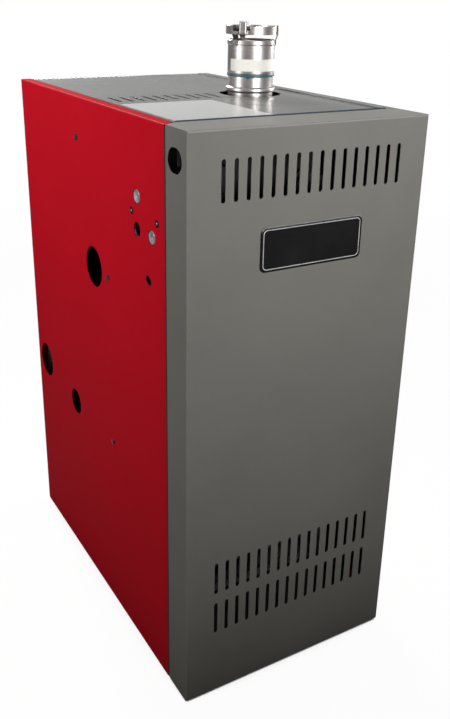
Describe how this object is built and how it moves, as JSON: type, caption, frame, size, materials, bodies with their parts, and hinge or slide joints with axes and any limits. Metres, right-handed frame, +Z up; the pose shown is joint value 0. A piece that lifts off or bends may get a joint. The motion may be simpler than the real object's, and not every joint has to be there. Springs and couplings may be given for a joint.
{
  "type": "cast-iron hot water boiler",
  "caption": "Upright gas-fired cast-iron hot water boiler in a sheet-steel jacket with a slotted pull-off front door, side pipe openings and a stainless vent connector on top.",
  "frame": {"origin": "on the floor under the middle of the jacket", "axes": "+X to the right as seen from the front, the door faces -Y, +Z up"},
  "size_m": [0.402, 0.673, 1.0295],
  "materials": {
    "jacket_grey": "grey baked enamel, satin",
    "jacket_red": "red baked enamel, satin",
    "galvanised": "galvanised sheet",
    "cast_iron": "bare grey iron casting",
    "stainless": "rolled stainless sheet",
    "aluminised": "aluminised sheet",
    "dark_steel": "black steel pipe, and black enamel on sheet and motor",
    "zinc_screws": "zinc-plated steel",
    "die_cast": "die-cast aluminium",
    "brass": "turned brass",
    "badge_black": "black moulded plate",
    "black_plastic": "moulded black plastic",
    "red_plastic": "moulded red plastic",
    "label_paper": "plain printed-stock label, bare",
    "blue_seal": "soft sealing strip",
    "red_silicone": "silicone gasket",
    "teal_silicone": "silicone bead",
    "clear_tube": "silicone tube",
    "fibre_board": "ceramic fibre board",
    "ceramic": "steatite",
    "glass": "clear glass",
    "white_enamel": "white enamelled dial",
    "magnet": "ferrite magnet in a steel cup"
  },
  "bodies": {
    "boiler": {"band_clips": "stainless", "base_pan": "galvanised", "burner_1": "aluminised", "burner_2": "aluminised", "burner_3": "aluminised", "burner_orifices": "brass", "burner_plate": "aluminised", "chamber_lining": "fibre_board", "combustion_base": "aluminised", "control_panel": "dark_steel", "door_magnets": "magnet", "door_seal": "blue_seal", "flame_sensor": "ceramic", "flue_collector": "aluminised", "gas_manifold": "dark_steel", "gas_riser": "dark_steel", "gas_valve": "die_cast", "gauge_case": "dark_steel", "gauge_dial": "white_enamel", "gauge_glass": "glass", "igniter": "ceramic", "ignition_control": "black_plastic", "inducer_housing": "aluminised", "inducer_motor": "dark_steel", "jacket_screws": "zinc_screws", "junction_box": "galvanised", "junction_box_cover": "galvanised", "left_side_panel": "jacket_red", "limit_control": "black_plastic", "locking_band": "stainless", "manifold_brackets": "galvanised", "pressure_switch": "black_plastic", "pressure_tube": "clear_tube", "push_nipples": "dark_steel", "rating_label": "label_paper", "rear_panel": "galvanised", "right_side_panel": "jacket_red", "section_centre_1": "cast_iron", "section_centre_2": "cast_iron", "section_left_end": "cast_iron", "section_right_end": "cast_iron", "sight_glass": "glass", "tie_rod_nuts": "zinc_screws", "tie_rods": "zinc_screws", "top_panel": "jacket_grey", "transformer": "dark_steel", "vent_adapter": "stainless", "vent_gasket": "red_silicone", "vent_label": "label_paper", "vent_seal": "teal_silicone", "vent_stub": "stainless", "vestibule_panel": "galvanised"},
    "door": {"front_door": "jacket_grey", "badge_plate": "badge_black"},
    "inducer_rotor": {"inducer_wheel": "aluminised", "inducer_shaft": "zinc_screws"},
    "valve_knob": {"gas_valve_knob": "black_plastic"},
    "reset_button": {"limit_reset_button": "red_plastic"},
    "gauge_needle": {"pressure_needle": "dark_steel"},
    "clamp_screw": {"band_screw": "zinc_screws"}
  },
  "joints": [
    {"name": "door_pull", "type": "slide", "parent": "boiler", "child": "door", "axis": [0, -1, 0], "range_m": [0, 0.35]},
    {"name": "inducer_spin", "type": "hinge", "parent": "boiler", "child": "inducer_rotor", "pos_m": [-0.002, 0.0305, 0.78], "axis": [0, 0, 1], "continuous": true},
    {"name": "knob_turn", "type": "hinge", "parent": "boiler", "child": "valve_knob", "pos_m": [0.06, -0.259, 0.235], "axis": [0, -1, 0], "range_deg": [0, 90]},
    {"name": "reset_press", "type": "slide", "parent": "boiler", "child": "reset_button", "axis": [0, 1, 0], "range_m": [0, 0.0022], "stiffness_N_per_m": 900},
    {"name": "needle_swing", "type": "hinge", "parent": "boiler", "child": "gauge_needle", "pos_m": [-0.07, -0.163, 0.585], "axis": [0, 1, 0], "range_deg": [0, 270], "stiffness_Nm_per_rad": 0.002},
    {"name": "clamp_screw_turn", "type": "hinge", "parent": "boiler", "child": "clamp_screw", "pos_m": [0.06111, -0.03482, 1.0189], "axis": [0.6691, -0.7431, 0], "continuous": true}
  ]
}
